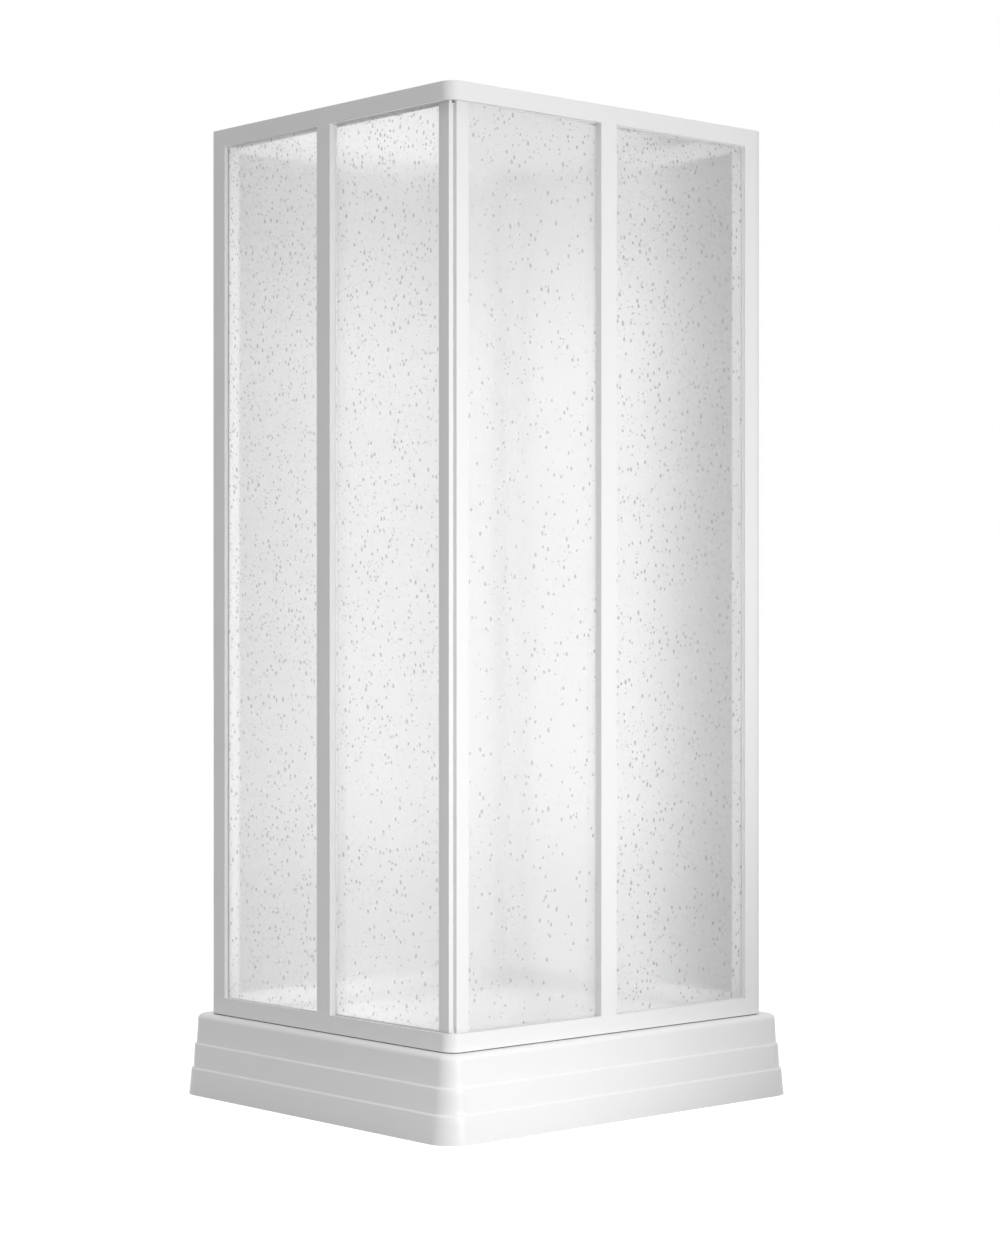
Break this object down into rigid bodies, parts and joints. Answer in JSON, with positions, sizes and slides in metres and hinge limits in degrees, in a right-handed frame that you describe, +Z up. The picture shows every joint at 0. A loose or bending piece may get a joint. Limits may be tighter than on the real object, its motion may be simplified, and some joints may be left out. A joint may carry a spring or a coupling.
{
  "type": "shower enclosure",
  "caption": "Corner-entry shower cabin: white framed raindrop sheets on all four sides of a stepped skirted tray, with two sliding doors that meet at the front corner.",
  "frame": {"origin": "on the floor, under the middle of the tray", "axes": "+Z up; the two door sides look along -X and -Y and meet at the low-X, low-Y corner; the right door opens along +X and the left door along +Y"},
  "size_m": [0.9578, 0.8748, 2.02],
  "materials": {
    "tray_shell": "glossy white acrylic",
    "coated_frame": "white powder coat on extruded aluminium",
    "moulded_corner": "satin white moulded plastic",
    "raindrop_sheet": "clear polystyrene with moulded raindrops on the outer face",
    "gasket": "soft translucent grey",
    "rubber": "matt dark rubber",
    "magnet": "matt white magnetic strip",
    "wheel_plastic": "natural nylon",
    "polished_steel": "polished",
    "waste_plastic": "plain moulded white",
    "bare_steel": "zinc plated"
  },
  "bodies": {
    "cabin": {"tray": "tray_shell", "tray_seal": "rubber", "support_bars": "bare_steel", "tray_feet": "rubber", "foot_nuts": "bare_steel", "waste_body": "waste_plastic", "waste_washer": "rubber", "waste_flange": "polished_steel", "waste_cover": "polished_steel", "post_left": "coated_frame", "post_right": "coated_frame", "post_back": "coated_frame", "post_caps": "moulded_corner", "top_rail_left": "coated_frame", "top_rail_right": "coated_frame", "bottom_rail_left": "coated_frame", "bottom_rail_right": "coated_frame", "back_top_rail_left": "coated_frame", "back_top_rail_right": "coated_frame", "back_bottom_rail_left": "coated_frame", "back_bottom_rail_right": "coated_frame", "top_corner": "moulded_corner", "bottom_corner": "moulded_corner", "mullion_left": "coated_frame", "mullion_right": "coated_frame", "mullion_seals": "rubber", "rail_brackets": "bare_steel", "frame_rivets": "bare_steel", "door_stops": "rubber", "fixed_panel_left": "raindrop_sheet", "fixed_panel_right": "raindrop_sheet", "back_panel_left": "raindrop_sheet", "back_panel_right": "raindrop_sheet", "fixed_gaskets": "gasket", "back_gaskets": "gasket"},
    "left_door": {"left_lead_stile": "coated_frame", "left_rear_stile": "coated_frame", "left_door_top_rail": "coated_frame", "left_door_bottom_rail": "coated_frame", "left_door_panel": "raindrop_sheet", "left_door_gasket": "gasket", "left_magnet_strip": "magnet", "left_roller_brackets": "bare_steel", "left_roller_axles": "bare_steel", "left_guide_shoes": "wheel_plastic"},
    "right_door": {"right_lead_stile": "coated_frame", "right_rear_stile": "coated_frame", "right_door_top_rail": "coated_frame", "right_door_bottom_rail": "coated_frame", "right_door_panel": "raindrop_sheet", "right_door_gasket": "gasket", "right_magnet_strip": "magnet", "right_roller_brackets": "bare_steel", "right_roller_axles": "bare_steel", "right_guide_shoes": "wheel_plastic"},
    "left_roller_front_wheel": {"left_roller_front": "wheel_plastic"},
    "left_roller_rear_wheel": {"left_roller_rear": "wheel_plastic"},
    "right_roller_front_wheel": {"right_roller_front": "wheel_plastic"},
    "right_roller_rear_wheel": {"right_roller_rear": "wheel_plastic"}
  },
  "joints": [
    {"name": "left_door_slide", "type": "slide", "parent": "cabin", "child": "left_door", "axis": [0, 1, 0], "range_m": [0, 0.3036]},
    {"name": "right_door_slide", "type": "slide", "parent": "cabin", "child": "right_door", "axis": [1, 0, 0], "range_m": [0, 0.3235]},
    {"name": "left_roller_front_spin", "type": "hinge", "parent": "left_door", "child": "left_roller_front_wheel", "pos_m": [-0.4055, -0.3456, 2.0013], "axis": [-1, 0, 0], "range_deg": [0, 2100]},
    {"name": "left_roller_rear_spin", "type": "hinge", "parent": "left_door", "child": "left_roller_rear_wheel", "pos_m": [-0.4055, -0.011, 2.0013], "axis": [-1, 0, 0], "range_deg": [0, 2100]},
    {"name": "right_roller_front_spin", "type": "hinge", "parent": "right_door", "child": "right_roller_front_wheel", "pos_m": [-0.385, -0.364, 2.0013], "axis": [0, 1, 0], "range_deg": [0, 2100]},
    {"name": "right_roller_rear_spin", "type": "hinge", "parent": "right_door", "child": "right_roller_rear_wheel", "pos_m": [-0.0305, -0.364, 2.0013], "axis": [0, 1, 0], "range_deg": [0, 2100]}
  ],
  "couplings": [
    {"joint": "left_roller_front_spin", "follows": "left_door_slide", "rad_per_m": 111.11},
    {"joint": "left_roller_rear_spin", "follows": "left_door_slide", "rad_per_m": 111.11},
    {"joint": "right_roller_front_spin", "follows": "right_door_slide", "rad_per_m": 111.11},
    {"joint": "right_roller_rear_spin", "follows": "right_door_slide", "rad_per_m": 111.11}
  ]
}
